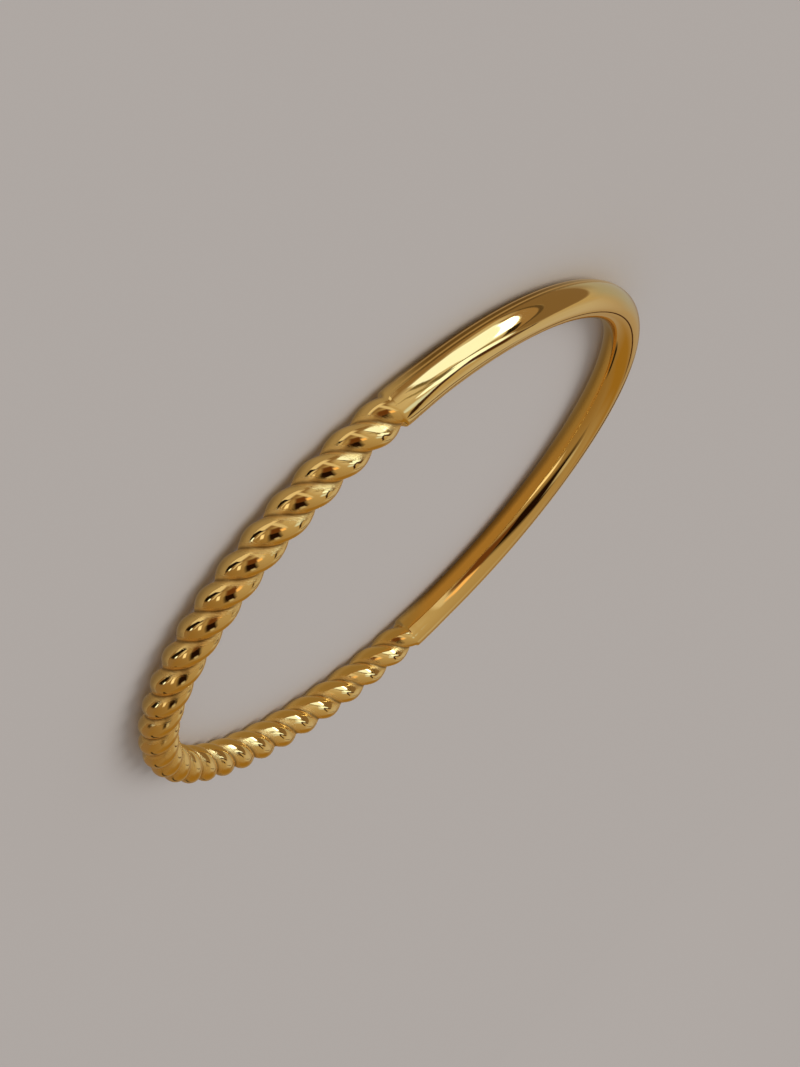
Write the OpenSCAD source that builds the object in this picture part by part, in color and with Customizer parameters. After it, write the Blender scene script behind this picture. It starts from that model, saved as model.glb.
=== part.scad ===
// Bangle in two halves. One half is a plain round bar. The other half is two
// round wires pressed and twisted together, soldered to the two end faces of the bar.
// It lies flat on Z = 0 with its oval's long way along X. The plain bar is on
// the -X side, the twist on the +X side, and the two joints are on the Y axis.

/* [Opening] */
// Inside length of the oval, along X
inner_length = 64; // [60:0.5:74]
// Inside width of the oval, along Y, from joint to joint
inner_width = 57.2; // [50:0.2:59]
// Inside radius of the oval's two tighter ends
end_radius = 24.2; // [18:0.1:24.8]

/* [Plain bar] */
// Diameter of the bar
bar_d = 4; // [3:0.1:5]
// Depth of the rounded rim where the bar stops at the twist
rim_depth = 0.5; // [0.2:0.05:1.2]
// Length of the rounded rim along the bar
rim_length = 0.9; // [0.3:0.1:3]

/* [Twist] */
// Diameter of each wire, before it is pressed flat where it meets the other one
wire_d = 2.7; // [2.4:0.05:3]
// Distance between the middles of the two wires
wire_spacing = 1.5; // [1.3:0.05:1.8]
// Gap between the flats of the two wires
wire_gap = 0.1; // [0.05:0.01:0.3]
// Full turns of the right-handed twist over its half of the ring
twist_turns = 13.25; // [8:0.25:18]
// Angle of the first wire where it leaves the joint on the -Y side, up from level
twist_start = 30; // [-90:5:90]
// Solder gap between the bar's end faces and the ends of the wires
joint_gap = 0.1; // [0.05:0.05:0.3]

/* [Smoothness] */
// Sides of the bar
bar_sides = 24; // [16:1:32]
// Length of the bar between two rings of points
bar_step = 1.5; // [1.2:0.1:3]
// Rings of points on each rounded rim
rim_rings = 4; // [3:1:6]
// Sides of the round part of each wire
wire_sides = 10; // [6:2:12]
// Sides of the flat of each wire
flat_sides = 2; // [2:1:4]
// Rings of points for each turn of the twist
rings_per_turn = 18; // [12:1:20]

/* [Hidden] */
gold = [0.85, 0.68, 0.35];
up = [0, 0, 1];

// The oval that the middle of the metal follows, drawn with four arcs
half_x = (inner_length + bar_d) / 2;
half_y = (inner_width + bar_d) / 2;
end_r = end_radius + bar_d / 2;
side_r = (pow(half_x - end_r, 2) + pow(half_y, 2) - pow(end_r, 2))
    / (2 * (half_y - end_r));

// Angle that a flatter side turns through from a joint to where a tighter end starts
side_turn = atan2(half_x - end_r, side_r - half_y);

// Lengths along one half of the ring, from the joint at -Y round to the joint at +Y
side_length = side_r * side_turn * PI / 180;
end_length = end_r * (180 - 2 * side_turn) * PI / 180;
half_length = 2 * side_length + end_length;

// The ring rests on whichever half is thicker
ring_z = max(bar_d, wire_spacing + wire_d) / 2;

// Angle that the twist turns through for each length along it, and how far a wire leans by that
twist_rate = 360 * twist_turns / half_length;
wire_lean = atan(wire_spacing / 2 * twist_rate * PI / 180);

// Angle that the outward direction has turned from -Y at a length s along the half
function turned(s) =
    s < side_length ? s / side_r * 180 / PI
    : s < side_length + end_length ? side_turn + (s - side_length) / end_r * 180 / PI
    : 180 - (half_length - s) / side_r * 180 / PI;

function outward(s) = [sin(turned(s)), -cos(turned(s)), 0];

// Middle of the metal at a length s
function middle(s) = ring_z * up + (
    s < side_length ? [0, side_r - half_y, 0] + side_r * outward(s)
    : s < side_length + end_length ? [half_x - end_r, 0, 0] + end_r * outward(s)
    : [0, half_y - side_r, 0] + side_r * outward(s));

// Point of a wire's section square to the twist, as its distances away from the middle of the
// twist and round it. The point at the angle e round the wire belongs to a place further back
// along the twist, so it is turned by what the twist turns through from there.
function on_wire(e) = let (
        turn = twist_rate * wire_d / 2 * sin(wire_lean) * sin(e),
        away = wire_spacing / 2 + wire_d / 2 * cos(e),
        round = wire_d / 2 * cos(wire_lean) * sin(e)
    )
    [away * cos(turn) - round * sin(turn), away * sin(turn) + round * cos(turn)];

// Angle round a wire where its flat starts, found between two angles by halving
function flat_start(low, high, halvings) = let (e = (low + high) / 2)
    halvings == 0 ? e
    : on_wire(e)[0] > wire_gap / 2 ? flat_start(e, high, halvings - 1)
    : flat_start(low, e, halvings - 1);

// Outline of a wire's section: its round part, and then the flat
flat_angle = flat_start(0, 180, 30);
flat_reach = on_wire(flat_angle)[1];
wire_outline = [
    for (j = [0 : wire_sides]) on_wire(flat_angle * (2 * j / wire_sides - 1)),
    for (j = [1 : flat_sides - 1]) [wire_gap / 2, flat_reach * (1 - 2 * j / flat_sides)]
];

// Outline of the bar's section, sunk below its surface near its two ends
function bar_outline(sunk) = [for (j = [0 : bar_sides - 1]) let (t = 360 * j / bar_sides)
        (bar_d / 2 - sunk) * [cos(t), sin(t)]];

// Ring of points at a length s: an outline, turned by the angle a about the middle of the metal
function ring(s, outline, a) = let (
        away = cos(a) * outward(s) + sin(a) * up,
        round = cos(a) * up - sin(a) * outward(s)
    )
    [for (p = outline) middle(s) + p[0] * away + p[1] * round];

// Closed tube through a list of rings that have the same number of points. The last few sides
// are cut along their other diagonal, by which a flat that twists becomes a little hollow.
module tube(rings, hollow_sides = 0) {
    sides = len(rings[0]);
    last = len(rings) - 1;
    walls = [for (i = [0 : last - 1], j = [0 : sides - 1]) let (
            next = (j + 1) % sides,
            here = i * sides,
            after = here + sides
        )
        each j < sides - hollow_sides
            ? [[here + j, after + j, after + next], [here + j, after + next, here + next]]
            : [[here + j, after + j, here + next], [after + j, after + next, here + next]]];
    first_end = [for (j = [0 : sides - 1]) j];
    last_end = [for (j = [sides - 1 : -1 : 0]) last * sides + j];
    polyhedron(
        [for (r = rings) each r],
        concat([first_end], walls, [last_end]),
        convexity = 20
    );
}

// One wire of the twist, set round by start from the first wire's place
module twisted_wire(start) {
    count = ceil(twist_turns * rings_per_turn);
    tube([for (i = [0 : count]) let (
            s = joint_gap + (half_length - 2 * joint_gap) * i / count
        )
        ring(s, wire_outline, twist_start + start - twist_rate * s)], flat_sides);
}

module plain_bar() {
    length = half_length - 2 * rim_length;
    count = 2 * ceil(length / bar_step / 2);
    rim = [for (i = [0 : rim_rings - 1]) let (t = 90 * i / rim_rings)
        [rim_length * (1 - cos(t)), rim_depth * (1 - sin(t))]];
    color(gold)
        mirror([1, 0, 0])
            tube([
                for (p = rim) ring(p[0], bar_outline(p[1]), 0),
                for (i = [0 : count])
                    ring(rim_length + length * i / count, bar_outline(0), 0),
                for (i = [rim_rings - 1 : -1 : 0])
                    ring(half_length - rim[i][0], bar_outline(rim[i][1]), 0)
            ]);
}

module twisted_wire_1() {
    color(gold)
        twisted_wire(0);
}

module twisted_wire_2() {
    color(gold)
        twisted_wire(180);
}

plain_bar();
twisted_wire_1();
twisted_wire_2();
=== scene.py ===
"""Looks of a closed oval bangle: one half a plain polished bar, the other half two wires twisted
together and soldered to the bar's ends. It lies flat, with its oval's long way along X."""

import math
from typing import NamedTuple

import bpy
import numpy as np
from bpy.props import FloatProperty, FloatVectorProperty, IntProperty, PointerProperty
from mathutils import Matrix, Vector


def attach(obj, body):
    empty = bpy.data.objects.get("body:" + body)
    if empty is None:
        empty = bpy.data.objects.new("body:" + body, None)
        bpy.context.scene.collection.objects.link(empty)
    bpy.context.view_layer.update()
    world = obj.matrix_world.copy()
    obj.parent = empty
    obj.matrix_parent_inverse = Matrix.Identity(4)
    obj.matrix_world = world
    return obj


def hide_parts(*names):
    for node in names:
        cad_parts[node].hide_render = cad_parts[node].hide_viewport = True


bl_info = {
    "name": "Half Twisted Bangle",
    "version": (1, 0, 0),
    "blender": (4, 5, 0),
    "location": "3D View > Sidebar > Bangle",
    "description": "Builds a gold bangle that is half plain bar and half twisted wire",
    "category": "Add Mesh",
}

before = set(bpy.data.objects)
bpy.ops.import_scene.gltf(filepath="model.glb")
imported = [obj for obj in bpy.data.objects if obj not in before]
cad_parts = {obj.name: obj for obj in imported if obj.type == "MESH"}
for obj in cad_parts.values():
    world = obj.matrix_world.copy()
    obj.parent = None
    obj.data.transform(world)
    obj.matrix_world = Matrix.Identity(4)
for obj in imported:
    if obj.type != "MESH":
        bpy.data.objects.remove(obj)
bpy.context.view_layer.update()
MM = 0.001
WHOLE_TURN = 2 * math.pi
UP = Vector((0, 0, 1))
BODY = "root"


# Properties

class BangleSizes(bpy.types.PropertyGroup):
    """Sizes of the oval and of the plain bar."""
    opening_length: FloatProperty(
        name="Opening Length", description="Inside length of the oval, along X",
        default=64 * MM, min=0.05, max=0.08, unit="LENGTH")
    opening_width: FloatProperty(
        name="Opening Width", description="Inside width of the oval, along Y, from joint to joint",
        default=57.2 * MM, min=0.045, max=0.07, unit="LENGTH")
    end_radius: FloatProperty(
        name="End Radius", description="Inside radius of the oval's two tighter ends",
        default=24.2 * MM, min=0.015, max=0.03, unit="LENGTH")
    curve_easing: FloatProperty(
        name="Curve Easing", description="Length over which a flatter side becomes a tighter end",
        default=16 * MM, min=0.001, max=0.03, unit="LENGTH")
    bar_diameter: FloatProperty(
        name="Bar Diameter", description="Diameter of the plain round bar",
        default=4 * MM, min=0.002, max=0.006, unit="LENGTH")
    middle_height: FloatProperty(
        name="Middle Height", description="Height of the middle of the metal above the floor",
        default=2.1 * MM, min=0.001, max=0.005, unit="LENGTH")
    inset: FloatProperty(
        name="Inset", description="How far the metal's surface stays inside the CAD model's",
        default=0.02 * MM, min=0.0, max=0.0001, unit="LENGTH")


class TwistSizes(bpy.types.PropertyGroup):
    """Sizes of the two twisted wires and of their joints with the bar."""
    wire_diameter: FloatProperty(
        name="Wire Diameter", description="Diameter of each wire before it is pressed to the other",
        default=2.7 * MM, min=0.001, max=0.004, unit="LENGTH")
    wire_spacing: FloatProperty(
        name="Wire Spacing", description="Distance between the middles of the two wires",
        default=1.5 * MM, min=0.0005, max=0.003, unit="LENGTH")
    wire_gap: FloatProperty(
        name="Wire Gap", description="Hairline between the flats of the two wires",
        default=0.02 * MM, min=0.0, max=0.0003, unit="LENGTH")
    groove_fillet: FloatProperty(
        name="Groove Fillet", description="Half the width of the rounded bottom of the grooves",
        default=0.16 * MM, min=0.0, max=0.001, unit="LENGTH")
    turns: FloatProperty(
        name="Turns", description="Full turns of the right-handed twist over its half of the ring",
        default=13.25, min=4, max=20)
    start_angle: FloatProperty(
        name="Start Angle",
        description="Angle of the first wire at the joint on the -Y side, up from level",
        default=math.radians(30), subtype="ANGLE")
    root_length: FloatProperty(
        name="Root Length", description="Length of each wire's root that belongs to the bar",
        default=0.6 * MM, min=0.0002, max=0.003, unit="LENGTH")
    shoulder_length: FloatProperty(
        name="Shoulder Length", description="Length of the rounded shoulder where the bar stops",
        default=1.2 * MM, min=0.0002, max=0.004, unit="LENGTH")
    shoulder_share: FloatProperty(
        name="Shoulder Share", description="Share of the groove's depth that the shoulder takes",
        default=0.15, min=0.0, max=0.5)
    wall_start: FloatProperty(
        name="Wall Start",
        description="Where the bar's end face starts to fall, measured from the joint",
        default=-0.05 * MM, unit="LENGTH")
    wall_end: FloatProperty(
        name="Wall End",
        description="Where the bar's end face has reached the grooves, measured from the joint",
        default=0.35 * MM, unit="LENGTH")
    swell_length: FloatProperty(
        name="Swell Length", description="Length over which the bar thickens to the twist's crests",
        default=6 * MM, min=0.001, max=0.02, unit="LENGTH")


class MeshDetail(bpy.types.PropertyGroup):
    """How finely the surfaces are divided."""
    wire_sides: IntProperty(
        name="Wire Sides", description="Points round each wire", default=64, min=12, max=96)
    flat_sides: IntProperty(
        name="Flat Sides", description="Faces across the hidden flat of each wire",
        default=4, min=1, max=12)
    rings_per_turn: IntProperty(
        name="Rings per Turn", description="Rings of points for each turn of the twist",
        default=52, min=12, max=96)
    joint_rings: IntProperty(
        name="Joint Rings", description="Rings of points over each shoulder and root",
        default=72, min=12, max=120)
    bar_rings: IntProperty(
        name="Bar Rings", description="Rings of points along the rest of the bar",
        default=300, min=40, max=500)


class GoldLook(bpy.types.PropertyGroup):
    """Colours and finish of the gold, with painted shade in its grooves."""
    light: FloatVectorProperty(
        name="Light Gold", description="Colour of clean polished gold",
        default=(1.0, 0.72, 0.27), subtype="COLOR", size=3, min=0, max=1)
    # The deep gold is partly painted shade: in the grooves it stands in for their shade, and under
    # thick plating it is the gold's own tone
    deep: FloatVectorProperty(
        name="Deep Gold", description="Colour of the gold in grooves and under thick plating",
        default=(0.96, 0.56, 0.13), subtype="COLOR", size=3, min=0, max=1)
    # Painted shade: a dark colour at the very bottom of the grooves, where shade falls
    crease_shade: FloatVectorProperty(
        name="Crease", description="Colour at the very bottom of the grooves",
        default=(0.16, 0.06, 0.01), subtype="COLOR", size=3, min=0, max=1)
    cloud_share: FloatProperty(
        name="Cloud Share", description="Share of the deep gold where the clouds are densest",
        default=0.25, min=0, max=1)
    # Painted shade: the grooves take on the deep gold
    groove_shade_share: FloatProperty(
        name="Groove Share", description="Share of the deep gold that the grooves add",
        default=0.15, min=0, max=1)
    # Painted shade: how strongly the crease colour darkens a groove's bottom
    crease_shade_share: FloatProperty(
        name="Crease Share", description="Share of the crease's colour at a groove's bottom",
        default=0.85, min=0, max=1)
    roughness: FloatProperty(
        name="Roughness", description="Roughness of the polished surface",
        default=0.05, min=0, max=1)
    scratch_roughness: FloatProperty(
        name="Scratch Roughness", description="Change of roughness over the scratches",
        default=0.06, min=0, max=1)
    groove_roughness: FloatProperty(
        name="Groove Roughness", description="Roughness that the grooves add",
        default=0.16, min=0, max=1)
    grain_roughness: FloatProperty(
        name="Grain Roughness", description="Roughness that the grain in the grooves adds at most",
        default=0.4, min=0, max=1)
    bump_height: FloatProperty(
        name="Bump Height", description="Height of a bump of 1 in the surface",
        default=0.03 * MM, min=0.0, max=0.0002, unit="LENGTH")
    scratch_bump: FloatProperty(
        name="Scratch Bump", description="Bump of the scratches", default=0.02, min=0, max=4)
    grain_bump: FloatProperty(
        name="Grain Bump", description="Bump of the grain in the grooves",
        default=1.6, min=0, max=4)
    wave_bump: FloatProperty(
        name="Wave Bump", description="Bump of the waves near the joints",
        default=0.6, min=0, max=4)


class StageLook(bpy.types.PropertyGroup):
    """The floor, the lights and the camera."""
    floor_colour: FloatVectorProperty(
        name="Floor", description="Colour of the plain floor and of the backdrop",
        default=(0.54, 0.50, 0.475), subtype="COLOR", size=3, min=0, max=1)
    floor_radius: FloatProperty(
        name="Floor Radius", description="Radius of the flat floor", default=0.8, unit="LENGTH")
    sweep_radius: FloatProperty(
        name="Sweep Radius",
        description="Radius of the curve by which the backdrop rises from the floor",
        default=1.2, unit="LENGTH")
    wall_height: FloatProperty(
        name="Wall Height", description="Height of the backdrop", default=4.0, unit="LENGTH")
    card_distance: FloatProperty(
        name="Card Distance", description="Distance of the lit and dark cards from the bangle",
        default=2.0, unit="LENGTH")
    ball_radius: FloatProperty(
        name="Ball Radius", description="Radius of the surroundings that the gold reflects",
        default=3.0, unit="LENGTH")
    window_side: FloatVectorProperty(
        name="Window Side", description="Colour of the surroundings on the window's side",
        default=(0.52, 0.45, 0.34), subtype="COLOR", size=3, min=0, max=1)
    far_side: FloatVectorProperty(
        name="Far Side", description="Colour of the surroundings away from the window",
        default=(0.27, 0.17, 0.065), subtype="COLOR", size=3, min=0, max=1)
    low_side: FloatVectorProperty(
        name="Low Side", description="Colour of the surroundings below the horizon",
        default=(0.25, 0.17, 0.10), subtype="COLOR", size=3, min=0, max=1)
    soft_light: FloatVectorProperty(
        name="Soft Light", description="Even light from all round, on the floor",
        default=(0.52, 0.51, 0.50), subtype="COLOR", size=3, min=0, max=1)
    window_azimuth: FloatProperty(
        name="Window Azimuth", description="Azimuth of the window's side, from +X towards +Y",
        default=math.radians(-150), subtype="ANGLE")
    key_elevation: FloatProperty(
        name="Key Elevation", description="Angle of the window's light above the floor",
        default=math.radians(50), subtype="ANGLE")
    key_softness: FloatProperty(
        name="Key Softness", description="Angle that the window's light fills",
        default=math.radians(40), subtype="ANGLE")
    key_strength: FloatProperty(
        name="Key Strength", description="Strength of the window's light on the floor",
        default=1.1, min=0)
    light_level: FloatProperty(
        name="Light Level", description="Strength of all the light together", default=1.0, min=0)
    camera_azimuth: FloatProperty(
        name="Azimuth", description="Camera's angle round the bangle, from -Y towards +X",
        default=math.radians(15.14), subtype="ANGLE")
    camera_elevation: FloatProperty(
        name="Elevation", description="Camera's angle above the floor",
        default=math.radians(17.13), subtype="ANGLE")
    camera_roll: FloatProperty(
        name="Roll", description="Turn of the camera about its line of sight",
        default=math.radians(133.72), subtype="ANGLE")
    camera_distance: FloatProperty(
        name="Distance", description="Distance of the camera from the middle of the bangle",
        default=193.3 * MM, unit="LENGTH")
    camera_lens: FloatProperty(
        name="Lens", description="Focal length, in millimetres on a 36 mm sensor", default=60.73)
    aim_right: FloatProperty(
        name="Aim Right", description="How far the aim lies to the right of the bangle's middle",
        default=-0.13 * MM, unit="LENGTH")
    aim_up: FloatProperty(
        name="Aim Up", description="How far the aim lies above the bangle's middle, in the picture",
        default=0.43 * MM, unit="LENGTH")


# Studio

class Card(NamedTuple):
    """A lit or dark card of the studio, which only reflections show.

    Angles are in degrees, as seen from the bangle: azimuth from +X towards +Y, elevation above
    the floor, the width and height that it fills, and roll about the line from the bangle to the
    card. The soft share of its half width and half height fades out at its rim. Glow is the
    strength of its light, and colour the tint of it. It stands nearer than the card distance by
    a share of it, or further where that is below 0, and the nearer of two cards covers the other.
    """
    name: str
    azimuth: float
    elevation: float
    width: float
    height: float
    roll: float
    soft: float
    glow: float
    colour: tuple
    nearer: float = 0.0


# Tints of the cards' glow
DAYLIGHT = (0.80, 1.0, 1.38)
SHADE = (0.90, 0.91, 0.88)
PAPER = (1.0, 0.93, 0.86)
OLIVE = (1.0, 0.86, 0.46)
BROWN = (1.0, 0.69, 0.41)
HONEY = (1.0, 0.58, 0.12)
RUST = (1.0, 0.38, 0.12)
EMBER = (1.0, 0.66, 0.36)

CARDS = (
    Card("window", -137, 10, 40, 62, 8, 0.15, 1.3, DAYLIGHT),
    Card("window_top", -157, 50, 42, 15, -14, 0.2, 1.5, DAYLIGHT),
    Card("window_glow", -130, 16, 60, 84, 10, 0.6, 0.58, PAPER, -0.03),
    Card("skylight", -146, 63, 30, 15, 0, 0.6, 0.85, DAYLIGHT, -0.01),
    Card("sky", -156, 12, 9, 38, 6, 0.2, 5.0, DAYLIGHT, 0.03),
    Card("frame", -146, 39, 34, 3.4, -11, 0.4, 0.12, OLIVE, 0.02),
    Card("frame_low", -120, 13, 5, 40, 20, 0.5, 0.15, OLIVE, 0.02),
    Card("frame_high", -133, 38, 5, 24, 38, 0.5, 0.15, OLIVE, 0.02),
    Card("frame_far", -120, 30, 3.4, 50, 34, 0.6, 0.25, OLIVE, 0.02),
    Card("sill", -148, -20, 30, 16, 0, 0.5, 0.55, PAPER, 0.01),
    Card("notch", -168, 35, 6, 17, 28, 0.2, 0.02, BROWN, 0.04),
    Card("curtain", 177, 3, 27, 92, 12, 0.15, 0.21, BROWN, 0.01),
    Card("curtain_light", -164.5, 5, 10, 82, 13, 0.1, 0.31, BROWN, 0.02),
    Card("curtain_line", -169.5, 5, 3, 86, 13, 0.3, 0.10, BROWN, 0.03),
    Card("wall", 146, -7, 48, 56, 0, 0.6, 0.42, SHADE),
    Card("wall_top", 130, 40, 44, 46, 0, 0.5, 0.50, PAPER, 0.005),
    Card("beam", 162, 68, 30, 7, 0, 0.4, 0.03, RUST, 0.03),
    Card("rail", 174, 53, 38, 9, 18, 0.4, 0.06, RUST, 0.03),
    Card("rail_end", -172, 63, 22, 8, -50, 0.4, 0.05, RUST, 0.03),
    Card("knot", 154, 44, 5, 6, 0, 0.5, 0.06, RUST, 0.03),
    Card("far_edge", 113, 14, 3, 34, 24, 0.4, 0.05, RUST, 0.02),
    Card("far_edge_top", 118, 42, 3, 32, 0, 0.4, 0.07, RUST, 0.02),
    Card("gap", 60, 6, 40, 7, 0, 0.5, 0.02, BROWN, 0.03),
    Card("amber", 78, 30, 66, 48, 0, 0.6, 0.30, HONEY),
    Card("stand", -63, 21, 38, 48, -38, 0.5, 0.13, RUST, 0.01),
    Card("ember", -77, 41, 17, 24, -20, 0.5, 1.0, EMBER, 0.02),
    Card("hood", -27, 45, 70, 40, 34, 0.5, 0.012, RUST, 0.02),
    Card("soft_right", -24, 8, 34, 12, 35, 0.5, 1.1, PAPER, 0.01),
    Card("slit", -27, -27, 72, 21, 0, 0.3, 0.008, BROWN, 0.02),
    Card("glint", -8, -15, 15, 6, 12, 0.4, 1.8, DAYLIGHT, 0.03),
    Card("glint_band", -32, -9, 48, 6, 8, 0.5, 0.8, PAPER, 0.02),
    Card("side_light", -88, 0, 15, 110, 0, 0.5, 0.66, PAPER, 0.005),
    Card("edge_light", 12, 56, 24, 15, 10, 0.6, 0.50, PAPER, 0.01),
    Card("paper", -62, -40, 82, 44, 22, 0.4, 0.75, PAPER),
)


class Band(NamedTuple):
    """A line of the mat: its reach in millimetres outwards from the middle line of the metal,
    the mat's colour there beside the plain bar, and its colour elsewhere."""
    reach: float
    bar: tuple
    other: tuple


# Colours of the mat, a painted reflection: the umber and amber bands stand in for shade on the
# floor round the metal
UMBER = (0.22, 0.15, 0.08)
TAN = (0.75, 0.60, 0.42)
AMBER = (0.64, 0.40, 0.14)
STRAW = (0.52, 0.38, 0.18)
SAND = (0.66, 0.57, 0.44)

# Painted shade: beside the bar, amber inside the ring and umber outside it, with tan lines, stand
# in for shaded floor
MAT_BANDS = (
    Band(-22.0, AMBER, STRAW), Band(-3.0, AMBER, STRAW),
    Band(0.0, UMBER, SAND), Band(1.0, UMBER, SAND), Band(1.3, TAN, SAND),
    Band(1.6, UMBER, SAND), Band(2.2, UMBER, SAND), Band(2.6, TAN, SAND),
    Band(3.0, UMBER, SAND), Band(3.6, UMBER, SAND),
)

# The mat's colours beside the bar come in over these shares of the bar's length: the first one
# from each joint, and between the other two from the bar's middle
JOINT_FADE = 0.06
MIDDLE_FADE = (0.12, 0.32)

# Points round the floor, the mat and the surroundings, and rings of the last and of the sweep
FLOOR_SIDES = 96
MAT_SIDES = 240
BALL_SIDES = 48
BALL_RINGS = 25
SWEEP_RINGS = 24


# Shapes

def smooth(x):
    """Smooth step: 0 below 0, 1 above 1, and x * x * (3 - 2 * x) between them."""
    x = np.clip(x, 0.0, 1.0)
    return x * x * (3.0 - 2.0 * x)


def running_area(values, step):
    """Area under evenly spaced values up to each of them, by the trapezium rule."""
    return np.concatenate(([0.0], np.cumsum((values[1:] + values[:-1]) * step / 2)))


class Oval:
    """The middle line of the metal, and the way from straight shapes to shapes bent along it.

    A length runs from the joint on the -Y side along the twisted half. It is negative on the
    plain half. The curvature is that of a four-arc oval, eased from arc to arc, and the line is
    the running sum of its direction.
    """

    samples = 8001

    def __init__(self, sizes):
        half_x = (sizes.opening_length + sizes.bar_diameter) / 2
        half_y = (sizes.opening_width + sizes.bar_diameter) / 2
        end_r = sizes.end_radius + sizes.bar_diameter / 2
        side_r = ((half_x - end_r) ** 2 + half_y ** 2 - end_r ** 2) / (2 * (half_y - end_r))
        side_turn = math.atan2(half_x - end_r, side_r - half_y)
        side_length = side_r * side_turn
        self.height = sizes.middle_height
        self.half = 2 * side_length + end_r * (math.pi - 2 * side_turn)
        self.lengths = np.linspace(0.0, self.half, self.samples)
        step = self.lengths[1]
        to_joint = np.minimum(self.lengths, self.half - self.lengths)
        tight = smooth((to_joint - side_length) / sizes.curve_easing + 0.5)
        self.curvatures = 1 / side_r + tight * (1 / end_r - 1 / side_r)
        turns = running_area(self.curvatures, step)
        self.turns = turns * math.pi / turns[-1]
        x = running_area(np.cos(self.turns), step)
        y = running_area(np.sin(self.turns), step)
        self.x = x * half_x / x.max()
        self.y = half_y * (2 * y / y[-1] - 1)

    def bend(self, straight, normal):
        """Points and normals of a straight shape, bent along the oval.

        The straight shape has (length, out, up). A point is the middle line's point at that
        length, plus out times the outward direction (sin t, -cos t) and up along Z, where t is
        the angle that the line has turned. Bending stretches lengths by 1 + out * curvature, so
        the normal's part along the line is divided by that.
        """
        length, out, up = np.moveaxis(straight, -1, 0)
        length = (length + self.half) % (2 * self.half) - self.half
        side = np.where(length < 0, -1.0, 1.0)
        far = np.abs(length)
        turn = side * np.interp(far, self.lengths, self.turns)
        curvature = np.interp(far, self.lengths, self.curvatures)
        sin = np.sin(turn)
        cos = np.cos(turn)
        x = side * np.interp(far, self.lengths, self.x) + out * sin
        y = np.interp(far, self.lengths, self.y) - out * cos
        points = np.stack([x, y, self.height + up], -1)
        along = normal[..., 0] / (1 + out * curvature)
        normals = np.stack([
            along * cos + normal[..., 1] * sin,
            along * sin - normal[..., 1] * cos,
            normal[..., 2],
        ], -1)
        return points, normals / np.linalg.norm(normals, axis=-1, keepdims=True)


class Twist:
    """The straight twist: two round wires, pressed together and wound about a straight middle line.

    Its section square to the line is the same everywhere, but turned. It is kept as a reach from
    the line for each angle, from the nearer wire's crest at 0 to the seam at a quarter turn. The
    point of a round wire at the angle e lies offset + r * cos e away from the line and
    r * cos(lean) * sin e round it, turned by rate * r * sin(lean) * sin e, because it belongs to
    a place as much further back.
    """

    samples = 4001

    def __init__(self, sizes, half, inset):
        offset = sizes.wire_spacing / 2
        radius = sizes.wire_diameter / 2 - inset
        self.start = sizes.start_angle
        self.rate = WHOLE_TURN * sizes.turns / half
        lean = math.atan(self.rate * offset)
        self.stretch = 1 / math.cos(lean)
        e = np.linspace(0, math.pi, self.samples)
        turn = self.rate * radius * math.sin(lean) * np.sin(e)
        away = offset + radius * np.cos(e)
        around = radius * math.cos(lean) * np.sin(e)
        x = away * np.cos(turn) - around * np.sin(turn)
        y = away * np.sin(turn) + around * np.cos(turn)
        self.angles = np.arctan2(y, x)
        self.reaches = np.hypot(x, y)
        self.slopes = np.gradient(self.reaches, self.angles)
        self.crest = offset + radius
        self.seam = np.interp(math.pi / 2, self.angles, self.reaches)
        self.fillet = sizes.groove_fillet / self.seam
        self.gap = sizes.wire_gap

    def angle(self, length):
        """Angle of the first wire at a length. It falls evenly, so the twist is right-handed."""
        return self.start - self.rate * length

    def section(self, angle):
        """Reach of the section at an angle from the first wire's crest, and its slope there.

        The angle a from the nearest seam is read as sqrt(a * a + fillet * fillet), which rounds
        the bottom of the groove.
        """
        from_crest = (angle + math.pi / 2) % math.pi - math.pi / 2
        a = math.pi / 2 - np.abs(from_crest)
        soft = np.hypot(a, self.fillet)
        scale = math.pi / 2 / math.hypot(math.pi / 2, self.fillet)
        read = math.pi / 2 - soft * scale
        slope = np.interp(read, self.angles, self.slopes) * scale * a / soft * np.sign(from_crest)
        return np.interp(read, self.angles, self.reaches), slope

    def depth(self, reach):
        """Depth in a groove: 0 on a crest, 1 at a seam."""
        return (self.crest - reach) / (self.crest - self.seam)


# How strongly the points round a wire crowd towards its seams
CROWDING = 0.25

# Lengths along the bar from a joint, in shoulder lengths: of the part with close rings, and of
# the part whose points follow the wires' angle
CLOSE_RINGS = 1.2
FOLLOWING = 1.5


def column_angles(sides):
    """Angles of the points round a wire, from seam to seam. An even angle e becomes
    e + crowding * sin(2 * e), which brings the points closer together near the seams."""
    even = np.linspace(-math.pi / 2, math.pi / 2, sides)
    return even + CROWDING * np.sin(2 * even)


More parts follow.
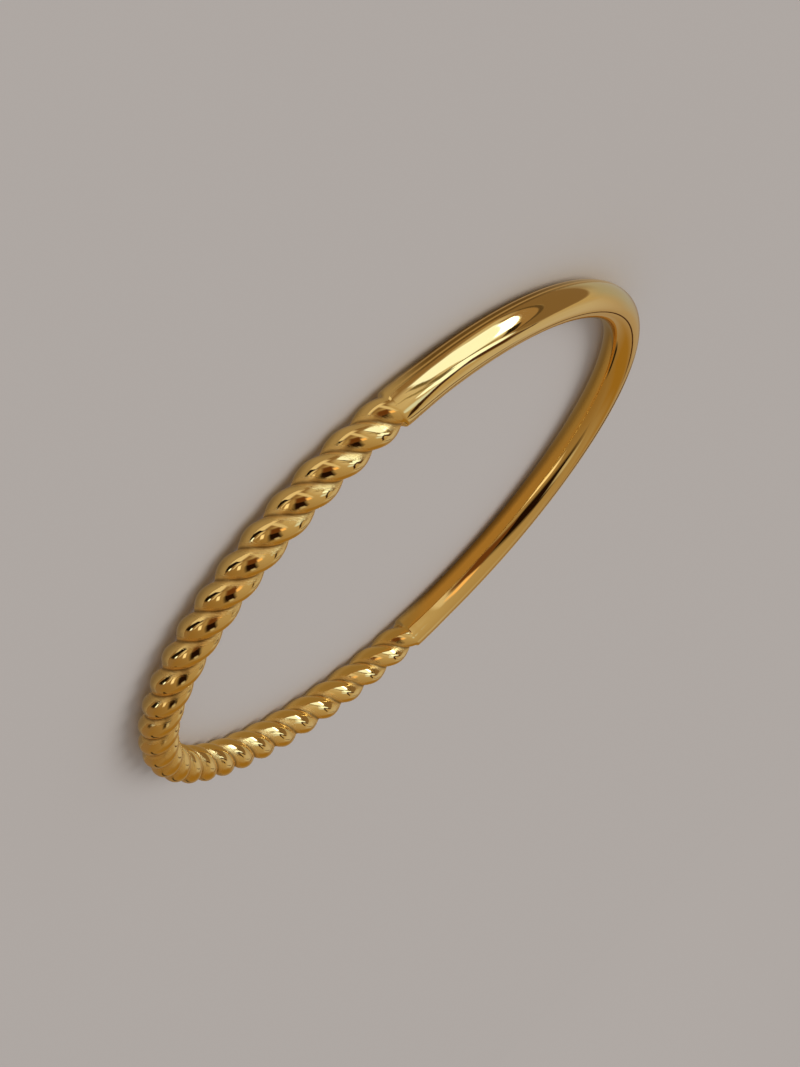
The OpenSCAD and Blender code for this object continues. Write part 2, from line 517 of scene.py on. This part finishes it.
def wire_surface(oval, twist, sizes, detail, add):
    """Grid of one wire from root to root, in (length, out, up): its round part and its flat.
    Its points, their normals, the material's own coordinates and the depths in the grooves.

    A round point is (t, reach * cos u, reach * sin u), where u is the column's angle plus the
    twist's angle at t. The normal there is (-slope * rate, 0, 0) plus the direction at u, less
    slope / reach times the direction a quarter turn on. The own coordinates are the same points
    before they are turned, with their lengths measured along the leaning wire.
    Adding 0 * u, or 0 * y on the flat, spreads a value over the whole grid.
    """
    rows = int(detail.rings_per_turn * sizes.turns)
    t = np.linspace(sizes.root_length, oval.half - sizes.root_length, rows)[:, None]
    turn = twist.angle(t) + add
    edge = twist.gap / 2 / twist.seam
    column = column_angles(detail.wire_sides)
    column = np.clip(column, column[0] + edge, column[-1] - edge)
    reach, slope = twist.section(column)
    u = turn + column
    lean = slope / reach
    t = t + 0 * u
    points = np.stack([t, reach * np.cos(u), reach * np.sin(u)], -1)
    normals = np.stack([
        -slope * twist.rate + 0 * u,
        np.cos(u) + lean * np.sin(u),
        np.sin(u) - lean * np.cos(u),
    ], -1)

    x = twist.gap / 2
    y = reach[-1] * np.linspace(1, -1, detail.flat_sides + 1)[1:-1]
    flat_t = t[:, :1] + 0 * y
    flat_points = np.stack([
        flat_t,
        x * np.cos(turn) - y * np.sin(turn),
        x * np.sin(turn) + y * np.cos(turn),
    ], -1)
    flat_normals = np.stack([0 * flat_t, -np.cos(turn) + 0 * y, -np.sin(turn) + 0 * y], -1)

    own = np.stack([
        t * twist.stretch,
        reach * np.cos(column) + 0 * u,
        reach * np.sin(column) + 0 * u,
    ], -1)
    flat_own = np.stack([flat_t * twist.stretch, x + 0 * flat_t, y + 0 * flat_t], -1)
    return (
        np.concatenate([points, flat_points], 1),
        np.concatenate([normals, flat_normals], 1),
        np.concatenate([own, flat_own], 1),
        np.concatenate([twist.depth(reach) + 0 * u, 1 + 0 * flat_t], 1),
    )


def bar_rows(oval, sizes, detail):
    """Lengths of the bar's rings, from root to root: close together at both joints."""
    close = CLOSE_RINGS * sizes.shoulder_length
    joint = np.linspace(-sizes.root_length, close, detail.joint_rings)
    rest = np.linspace(joint[-1], oval.half - joint[-1], detail.bar_rings)[1:-1]
    return np.concatenate([joint, rest, oval.half - joint[::-1]])


def bar_straight(v, oval, twist, bangle, sizes, detail):
    """Points of the bar in (length, out, up), and their depths in the grooves, at lengths v along
    it from the joint on the -Y side.

    The reach of a ring is (1 - w) * circle + w * the twist's own section, turned to the twist's
    angle. The share w grows as the square of the way over the shoulder, and then by a smooth step
    over the end face to 1 on the roots. The circle swells to the twist's crests near the joints.
    Between the joints the angle goes smoothly from the one that follows the near wires to the
    one that follows the far wires, less the whole turns between them.
    """
    column = column_angles(detail.wire_sides)[:-1]
    column = np.concatenate([column, column + math.pi])[None, :]
    reach, _ = twist.section(column)

    inside = np.maximum(-v, v - oval.half)
    way = (inside + sizes.shoulder_length) / (sizes.shoulder_length + sizes.wall_end)
    over = np.clip(way, 0, 1)
    fallen = smooth((inside - sizes.wall_start) / (sizes.wall_end - sizes.wall_start))
    w = 1 - (1 - sizes.shoulder_share * over ** 2) * (1 - fallen)
    bar_radius = bangle.bar_diameter / 2 - bangle.inset
    radius = bar_radius + (twist.crest - bar_radius) * smooth(inside / sizes.swell_length + 1)

    following = FOLLOWING * sizes.shoulder_length
    near = twist.angle(-np.minimum(v, following))
    far = twist.angle(2 * oval.half - np.maximum(v, oval.half - following))
    apart = twist.angle(-following) - twist.angle(oval.half + following)
    far = far + WHOLE_TURN * round(apart / WHOLE_TURN)
    angle = near + (far - near) * smooth((v - following) / (oval.half - 2 * following))

    u = angle + column
    reach = (1 - w) * radius + w * reach
    straight = np.stack([-v + 0 * u, reach * np.cos(u), reach * np.sin(u)], -1)
    return straight, w * np.clip(twist.depth(reach), 0, 1)


def bar_surface(oval, twist, bangle, sizes, detail):
    """Grid of the bar and of the wires' roots, with normals from small steps along and round it."""
    rows = bar_rows(oval, sizes, detail)[:, None]
    nudge = 0.002 * MM
    straight, depth = bar_straight(rows, oval, twist, bangle, sizes, detail)
    after, _ = bar_straight(rows + nudge, oval, twist, bangle, sizes, detail)
    before, _ = bar_straight(rows - nudge, oval, twist, bangle, sizes, detail)
    around = np.roll(straight, -1, 1) - np.roll(straight, 1, 1)
    return straight, np.cross(after - before, around), straight, depth


def add_tube(name, oval, surface):
    """Closed mesh object from a grid, bent along the oval: rows along the piece, columns round it.

    Each end is closed by one flat face. Faces and ends are turned round together where the grid
    runs the other way, so that all point outwards. The grid's own normals stay on the mesh.
    """
    straight, normal, own, depth = surface
    points, normals = oval.bend(straight, normal)
    rows, columns = depth.shape
    index = np.arange(rows * columns).reshape(rows, columns)
    beside = np.roll(index, -1, 1)
    quads = np.stack([index[:-1], beside[:-1], beside[1:], index[1:]], -1).reshape(-1, 4)

    flat_points = points.reshape(-1, 3)
    flat_normals = normals.reshape(-1, 3)
    a, b, c, d = (flat_points[quads[:, k]] for k in range(4))
    faces = np.cross(c - a, d - b)
    order = -1 if np.sum(faces * flat_normals[quads[:, 0]]) < 0 else 1
    # Faces times their places add up to a volume, which is below 0 where they point inwards
    if order * np.sum(faces * (a + b + c + d)) < 0:
        raise RuntimeError(f"{name}: the normals point inwards")
    quads = quads[:, ::order]

    ends = [index[0][::-order], index[-1][::order]]
    corners = np.concatenate([quads.ravel(), *ends])
    counts = np.concatenate([np.full(len(quads), 4), [len(end) for end in ends]])
    starts = np.concatenate([[0], np.cumsum(counts)[:-1]])

    mesh = bpy.data.meshes.new(name)
    mesh.vertices.add(len(flat_points))
    mesh.vertices.foreach_set("co", flat_points.ravel())
    mesh.loops.add(len(corners))
    mesh.loops.foreach_set("vertex_index", corners)
    mesh.polygons.add(len(counts))
    mesh.polygons.foreach_set("loop_start", starts)
    mesh.polygons.foreach_set("use_smooth", np.arange(len(counts)) < len(quads))
    mesh.update(calc_edges=True)
    mesh.attributes.new("own", "FLOAT_VECTOR", "POINT").data.foreach_set("vector", own.ravel())
    mesh.attributes.new("depth", "FLOAT", "POINT").data.foreach_set("value", depth.ravel())
    mesh.normals_split_custom_set(flat_normals[corners])
    piece = bpy.data.objects.new(name, mesh)
    bpy.context.scene.collection.objects.link(piece)
    return piece


# Materials

class Graph:
    """A material's node tree, with one way to add any node."""

    def __init__(self, name):
        self.material = bpy.data.materials.new(name)
        self.material.use_nodes = True
        self.tree = self.material.node_tree
        self.tree.nodes.clear()

    def node(self, kind, settings=None, inputs=None, output=0):
        """Adds a node, sets its settings first and then its inputs, and returns one output."""
        made = self.tree.nodes.new(kind)
        for name, value in (settings or {}).items():
            setattr(made, name, value)
        for name, value in (inputs or {}).items():
            if isinstance(value, Socket):
                self.tree.links.new(value.socket, made.inputs[name])
            else:
                made.inputs[name].default_value = value
        return Socket(self, made.outputs[output]) if made.outputs else None

    def math(self, operation, *values):
        """A Math node on numbers or sockets."""
        return self.node("ShaderNodeMath", {"operation": operation}, dict(enumerate(values)))

    def clamp(self, value):
        """A value kept between 0 and 1."""
        return self.node("ShaderNodeClamp", inputs={0: value})

    def smooth(self, value, low, high):
        """A smooth step of a value, from 0 at low to 1 at high."""
        return self.node(
            "ShaderNodeMapRange", {"interpolation_type": "SMOOTHSTEP"}, {0: value, 1: low, 2: high})

    def noise(self, where, pattern):
        """A pattern's noise, from 0 to 1."""
        scaled = self.node(
            "ShaderNodeVectorMath", {"operation": "MULTIPLY"}, {0: where, 1: pattern.scale})
        return self.node("ShaderNodeTexNoise", inputs={
            "Vector": scaled, "Scale": 1.0, "Detail": pattern.octaves})

    def mix(self, factor, a, b):
        """A mix of two colours."""
        inputs = {0: factor, 6: self.colour(a), 7: self.colour(b)}
        return self.node("ShaderNodeMix", {"data_type": "RGBA"}, inputs, 2)

    @staticmethod
    def colour(value):
        """A colour as the mix node takes it."""
        return value if isinstance(value, Socket) else (*value, 1.0)


class Socket:
    """An output whose arithmetic adds Math nodes."""

    def __init__(self, graph, socket):
        self.graph = graph
        self.socket = socket

    def __add__(self, other):
        return self.graph.math("ADD", self, other)

    def __radd__(self, other):
        return self.graph.math("ADD", other, self)

    def __sub__(self, other):
        return self.graph.math("SUBTRACT", self, other)

    def __rsub__(self, other):
        return self.graph.math("SUBTRACT", other, self)

    def __mul__(self, other):
        return self.graph.math("MULTIPLY", self, other)

    def __rmul__(self, other):
        return self.graph.math("MULTIPLY", other, self)


class Pattern(NamedTuple):
    """Noise in the gold: its features for each metre along each axis, and its finer octaves."""
    scale: tuple
    octaves: float


CLOUDS = Pattern((180.0, 180.0, 180.0), 3.0)
SCRATCHES = Pattern((250.0, 9000.0, 9000.0), 4.0)
GRAIN = Pattern((4500.0, 4500.0, 4500.0), 2.0)
WAVES = Pattern((420.0, 420.0, 900.0), 1.0)

# Middle value of a pattern's noise
NOISE_MIDDLE = 0.5

# Depths, 0 on a crest and 1 at a seam, between which a groove's finish with its painted shade of
# deeper gold, and the painted shade of its crease, come in
GROOVE_DEPTHS = (0.22, 0.7)
CREASE_SHADE_DEPTHS = (0.66, 0.96)

# Places along X, with the joints at 0. Each pair is a place without waves and one with full
# waves: the first pair is on the bar, and the second on the twist
WAVES_RISE = (-9 * MM, -1 * MM)
WAVES_DIE = (2 * MM, 0.0)


def gold_material(name, look):
    """Polished gold. The grooves keep the grain that polishing doesn't reach, and carry painted
    shade: deeper gold, and a dark crease at their bottoms.
    The rest has soft clouds in the plating, fine scratches along the piece, and faint waves near
    the joints."""
    g = Graph(name)
    own = g.node("ShaderNodeAttribute", {"attribute_name": "own"}, output="Vector")
    depth = g.node("ShaderNodeAttribute", {"attribute_name": "depth"}, output="Fac")
    where = g.node("ShaderNodeTexCoord", output="Object")
    groove = g.smooth(depth, *GROOVE_DEPTHS)
    crease_shade = g.smooth(depth, *CREASE_SHADE_DEPTHS)
    clouds = g.noise(where, CLOUDS)
    scratches = g.noise(own, SCRATCHES)
    grain = g.noise(own, GRAIN)
    waves = g.noise(where, WAVES)
    across = g.node("ShaderNodeSeparateXYZ", inputs={0: where}, output="X")
    near_joint = g.smooth(across, *WAVES_RISE) * g.smooth(across, *WAVES_DIE)

    # Deep gold from painted shade in the grooves, and from the plating's own clouds
    shade_and_cloud_share = groove * look.groove_shade_share + clouds * look.cloud_share
    colour = g.mix(shade_and_cloud_share, look.light, look.deep)
    # Painted shade: the crease colour darkens the bottom of the grooves
    colour = g.mix(crease_shade * look.crease_shade_share, colour, look.crease_shade)
    scratched = (scratches - NOISE_MIDDLE) * look.scratch_roughness
    dull = groove * (grain * look.grain_roughness + look.groove_roughness)
    roughness = look.roughness + scratched + dull
    in_grooves = grain * groove * look.grain_bump
    at_joints = waves * near_joint * look.wave_bump
    height = scratches * look.scratch_bump + in_grooves + at_joints
    bump = g.node("ShaderNodeBump", inputs={
        "Strength": 1.0, "Distance": look.bump_height, "Height": height}, output="Normal")
    surface = g.node("ShaderNodeBsdfPrincipled", inputs={
        "Metallic": 1.0, "Base Color": colour, "Roughness": roughness, "Normal": bump})
    g.node("ShaderNodeOutputMaterial", inputs={"Surface": surface})
    return g.material


# Operators

def finish_piece(piece, material, node):
    """Gives a piece its material and its place on the body, and hides the CAD part that it stands
    for.
    """
    piece.data.materials.append(material)
    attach(piece, BODY)
    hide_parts(node)


def shapes(context):
    """The oval, the straight twist and the scene whose property groups they come from."""
    scene = context.scene
    oval = Oval(scene.bangle_sizes)
    return oval, Twist(scene.bangle_twist, oval.half, scene.bangle_sizes.inset), scene


class BANGLE_OT_plain_bar(bpy.types.Operator):
    """Build the plain polished half, with the roots of the two wires"""
    bl_idname = "bangle.plain_bar"
    bl_label = "Plain Bar"

    def execute(self, context):
        oval, twist, scene = shapes(context)
        material = gold_material("polished gold", scene.bangle_gold)
        surface = bar_surface(
            oval, twist, scene.bangle_sizes, scene.bangle_twist, scene.bangle_detail)
        piece = add_tube("polished_bar", oval, surface)
        finish_piece(piece, material, "plain_bar")
        return {"FINISHED"}


class BANGLE_OT_twisted_wires(bpy.types.Operator):
    """Build the two wires of the twisted half"""
    bl_idname = "bangle.twisted_wires"
    bl_label = "Twisted Wires"

    def execute(self, context):
        oval, twist, scene = shapes(context)
        material = gold_material("twisted gold", scene.bangle_gold)
        for number, add in enumerate((0.0, math.pi), start=1):
            surface = wire_surface(oval, twist, scene.bangle_twist, scene.bangle_detail, add)
            piece = add_tube(f"polished_wire_{number}", oval, surface)
            finish_piece(piece, material, f"twisted_wire_{number}")
        return {"FINISHED"}


def way_to(azimuth, elevation):
    """Unit vector at an azimuth, from +X towards +Y, and at an elevation above the floor."""
    level = math.cos(elevation)
    return Vector((level * math.cos(azimuth), level * math.sin(azimuth), math.sin(elevation)))


def add_camera(look, target):
    """Camera at its angles and distance from the target, rolled about its line of sight."""
    back = way_to(look.camera_azimuth - math.pi / 2, look.camera_elevation)
    right = (-back).cross(UP).normalized()
    up = back.cross(right)
    turn = Matrix.Rotation(look.camera_roll, 3, back)
    right = turn @ right
    up = turn @ up
    place = target + back * look.camera_distance + right * look.aim_right + up * look.aim_up
    data = bpy.data.cameras.new("camera")
    data.lens = look.camera_lens
    data.clip_start = 1 * MM
    camera = bpy.data.objects.new("camera", data)
    turned = Matrix((right, up, back)).transposed().to_4x4()
    camera.matrix_world = Matrix.Translation(place) @ turned
    bpy.context.scene.collection.objects.link(camera)
    bpy.context.scene.camera = camera


def matt_material(name, colour):
    """Plain matt surface, for the floor and the backdrop."""
    g = Graph(name)
    surface = g.node("ShaderNodeBsdfDiffuse", inputs={"Color": (*colour, 1.0)})
    g.node("ShaderNodeOutputMaterial", inputs={"Surface": surface})
    return g.material


def card_material(card, level):
    """Even glow of a card, clear at its rim. A dark card hardly glows."""
    g = Graph(card.name)
    cover = g.node("ShaderNodeAttribute", {"attribute_name": "cover"}, output="Fac")
    glow = g.node("ShaderNodeEmission", inputs={
        "Color": (*card.colour, 1.0), "Strength": card.glow * level})
    clear = g.node("ShaderNodeBsdfTransparent")
    surface = g.node("ShaderNodeMixShader", inputs={0: cover, 1: clear, 2: glow})
    g.node("ShaderNodeOutputMaterial", inputs={"Surface": surface})
    return g.material


# How far the brightest way of the surroundings is lifted from level
BRIGHT_LIFT = 0.2

# Towards the floor the surroundings turn into the low side: how steeply with the height, and the
# share of the upper colours that is there at the horizon
HORIZON_SLOPE = 4
HORIZON_SHARE = 0.8


def surroundings_material(look):
    """Glow all round: pale on the window's side, and warmer and darker away from it."""
    g = Graph("surroundings")
    where = g.node("ShaderNodeTexCoord", output="Object")
    way = g.node("ShaderNodeVectorMath", {"operation": "NORMALIZE"}, {0: where}, "Vector")
    bright = (math.cos(look.window_azimuth), math.sin(look.window_azimuth), BRIGHT_LIFT)
    facing = g.node(
        "ShaderNodeVectorMath", {"operation": "DOT_PRODUCT"}, {0: way, 1: bright}, "Value")
    colour = g.mix(facing * 0.5 + 0.5, look.far_side, look.window_side)
    height = g.node("ShaderNodeSeparateXYZ", inputs={0: way}, output="Z")
    above = g.clamp(height * HORIZON_SLOPE + HORIZON_SHARE)
    colour = g.mix(above, look.low_side, colour)
    surface = g.node("ShaderNodeEmission", inputs={"Color": colour, "Strength": look.light_level})
    g.node("ShaderNodeOutputMaterial", inputs={"Surface": surface})
    return g.material


def mat_material():
    """Matt surface in the colours that the mat's mesh carries."""
    g = Graph("mat")
    tone = g.node("ShaderNodeAttribute", {"attribute_name": "tone"}, output="Color")
    surface = g.node("ShaderNodeBsdfDiffuse", inputs={"Color": tone})
    g.node("ShaderNodeOutputMaterial", inputs={"Surface": surface})
    return g.material


def seen_by(thing, camera=False, diffuse=False, glossy=False, shadow=False):
    """Which rays meet a thing of the stage."""
    thing.visible_camera = camera
    thing.visible_diffuse = diffuse
    thing.visible_glossy = glossy
    thing.visible_shadow = shadow


def add_sheet(name, points, material, closed=True):
    """Thing of the stage from a grid of points, rows by columns. A closed grid goes all round."""
    rows, columns = points.shape[:2]
    index = np.arange(rows * columns).reshape(rows, columns)
    beside = np.roll(index, -1, 1)
    quads = np.stack([index[:-1], index[1:], beside[1:], beside[:-1]], -1)
    quads = quads if closed else quads[:, :-1]
    mesh = bpy.data.meshes.new(name)
    mesh.from_pydata(points.reshape(-1, 3).tolist(), [], quads.reshape(-1, 4).tolist())
    mesh.shade_smooth()
    mesh.materials.append(material)
    sheet = bpy.data.objects.new(name, mesh)
    bpy.context.scene.collection.objects.link(sheet)
    return sheet


def lathed(radius, height, sides):
    """Grid of a profile of radii and heights, turned round Z."""
    turn = np.linspace(0, WHOLE_TURN, sides, endpoint=False)
    return np.stack([
        np.outer(radius, np.cos(turn)),
        np.outer(radius, np.sin(turn)),
        np.outer(height, np.ones_like(turn)),
    ], -1)


def add_floor(look):
    """Flat round floor, and a backdrop that sweeps up from its rim.

    The backdrop's radius is rim + sweep * sin a and its height sweep * (1 - cos a), for a
    quarter turn, and then it stands straight.
    """
    material = matt_material("floor", look.floor_colour)
    flat = np.array([0.0, look.floor_radius])
    floor = add_sheet("floor", lathed(flat, 0 * flat, FLOOR_SIDES), material)
    seen_by(floor, camera=True, diffuse=True)
    a = np.linspace(0, math.pi / 2, SWEEP_RINGS)
    radius = look.floor_radius + look.sweep_radius * np.sin(a)
    height = look.sweep_radius * (1 - np.cos(a))
    radius = np.append(radius, radius[-1])
    height = np.append(height, look.wall_height)
    backdrop = add_sheet("backdrop", lathed(radius, height, FLOOR_SIDES), material)
    seen_by(backdrop, camera=True)


def add_mat(oval):
    """Mat under the bangle that only reflections show, for the contrast that polished metal needs:
    a painted reflection, whose umber and amber bands stand in for the shade on the floor beside and
    inside the metal.

    Its bands follow the metal: each is the middle line, moved outwards by its reach. The first
    one is joined to the middle of the opening. The colours beside the bar fade into the others
    at both joints and at the bar's middle.
    """
    length = np.linspace(-oval.half, oval.half, MAT_SIDES, endpoint=False)
    reach = np.array([band.reach for band in MAT_BANDS]) * MM
    straight = np.stack(np.broadcast_arrays(length[None, :], reach[:, None], -oval.height), -1)
    points, _ = oval.bend(straight, np.ones_like(straight))
    points = np.concatenate([points[:1] * 0, points])
    mat = add_sheet("mat", points, mat_material())
    share = -length / oval.half
    from_joints = smooth(np.minimum(share, 1 - share) / JOINT_FADE)
    inner, outer = MIDDLE_FADE
    from_middle = smooth((np.abs(share - 0.5) - inner) / (outer - inner))
    beside_bar = from_joints * from_middle
    bands = (MAT_BANDS[0], *MAT_BANDS)
    bar = np.array([band.bar for band in bands])[:, None, :]
    other = np.array([band.other for band in bands])[:, None, :]
    tone = np.ones((*points.shape[:2], 4))
    tone[..., :3] = other + (bar - other) * beside_bar[None, :, None]
    attribute = mat.data.attributes.new("tone", "FLOAT_COLOR", "POINT")
    attribute.data.foreach_set("color", tone.ravel())
    seen_by(mat, glossy=True)


def add_card(card, look, middle):
    """Flat card that faces the bangle: a grid of four by four points, clear at its rim."""
    away = way_to(math.radians(card.azimuth), math.radians(card.elevation))
    right = away.cross(UP).normalized()
    turn = Matrix.Rotation(math.radians(card.roll), 3, away)
    right = turn @ right
    up = right.cross(away)
    distance = look.card_distance * (1 - card.nearer)
    half_width = distance * math.tan(math.radians(card.width / 2))
    half_height = distance * math.tan(math.radians(card.height / 2))
    steps = np.array([-1, card.soft - 1, 1 - card.soft, 1])
    across, upward = np.meshgrid(steps * half_width, steps * half_height)
    points = np.array(middle + away * distance)
    points = points + across[..., None] * np.array(right) + upward[..., None] * np.array(up)
    made = add_sheet(card.name, points, card_material(card, look.light_level), closed=False)
    cover = np.zeros((4, 4))
    cover[1:3, 1:3] = 1
    made.data.attributes.new("cover", "FLOAT", "POINT").data.foreach_set("value", cover.ravel())
    seen_by(made, glossy=True)


def add_surroundings(look):
    """Large ball round the stage, which only reflections show."""
    tilt = np.linspace(-math.pi / 2, math.pi / 2, BALL_RINGS)
    ball = look.ball_radius * lathed(np.cos(tilt), np.sin(tilt), BALL_SIDES)
    seen_by(add_sheet("surroundings", ball, surroundings_material(look)), glossy=True)


def add_world(look):
    """Even soft light from all round for the floor, and a large soft light at the window's side."""
    world = bpy.data.worlds.new("studio")
    world.use_nodes = True
    background = world.node_tree.nodes["Background"]
    background.inputs["Color"].default_value = (*look.soft_light, 1.0)
    background.inputs["Strength"].default_value = look.light_level
    world.cycles_visibility.glossy = False
    bpy.context.scene.world = world
    data = bpy.data.lights.new("soft_window", "SUN")
    data.angle = look.key_softness
    data.energy = look.key_strength * look.light_level
    light = bpy.data.objects.new("soft_window", data)
    towards = way_to(look.window_azimuth, look.key_elevation)
    light.matrix_world = towards.to_track_quat("Z", "Y").to_matrix().to_4x4()
    light.visible_glossy = False
    bpy.context.scene.collection.objects.link(light)


class BANGLE_OT_stage(bpy.types.Operator):
    """Build the floor, the lights and the camera"""
    bl_idname = "bangle.stage"
    bl_label = "Stage"

    def execute(self, context):
        scene = context.scene
        look = scene.bangle_stage
        middle = Vector((0, 0, scene.bangle_sizes.middle_height))
        add_camera(look, middle)
        add_floor(look)
        add_mat(Oval(scene.bangle_sizes))
        for card in CARDS:
            add_card(card, look, middle)
        add_surroundings(look)
        add_world(look)
        scene.view_settings.view_transform = "Standard"
        return {"FINISHED"}


class BANGLE_PT_panel(bpy.types.Panel):
    """Lists the bangle's steps in the 3D view's sidebar"""
    bl_label = "Bangle"
    bl_idname = "BANGLE_PT_panel"
    bl_space_type = "VIEW_3D"
    bl_region_type = "UI"
    bl_category = "Bangle"

    def draw(self, context):
        for step in STEPS:
            self.layout.operator(step.bl_idname)


STEPS = (BANGLE_OT_stage, BANGLE_OT_plain_bar, BANGLE_OT_twisted_wires)
GROUPS = {
    "bangle_sizes": BangleSizes,
    "bangle_twist": TwistSizes,
    "bangle_detail": MeshDetail,
    "bangle_gold": GoldLook,
    "bangle_stage": StageLook,
}
CLASSES = (*GROUPS.values(), *STEPS, BANGLE_PT_panel)


def register():
    """Registers the classes, and gives every scene the property groups."""
    for made in CLASSES:
        bpy.utils.register_class(made)
    for name, group in GROUPS.items():
        setattr(bpy.types.Scene, name, PointerProperty(type=group))


def unregister():
    """Takes the property groups and the classes away again."""
    for name in GROUPS:
        delattr(bpy.types.Scene, name)
    for made in reversed(CLASSES):
        bpy.utils.unregister_class(made)


def main():
    """Registers the add-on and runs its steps."""
    register()
    bpy.ops.bangle.stage()
    bpy.ops.bangle.plain_bar()
    bpy.ops.bangle.twisted_wires()


if __name__ == "__main__":
    main()
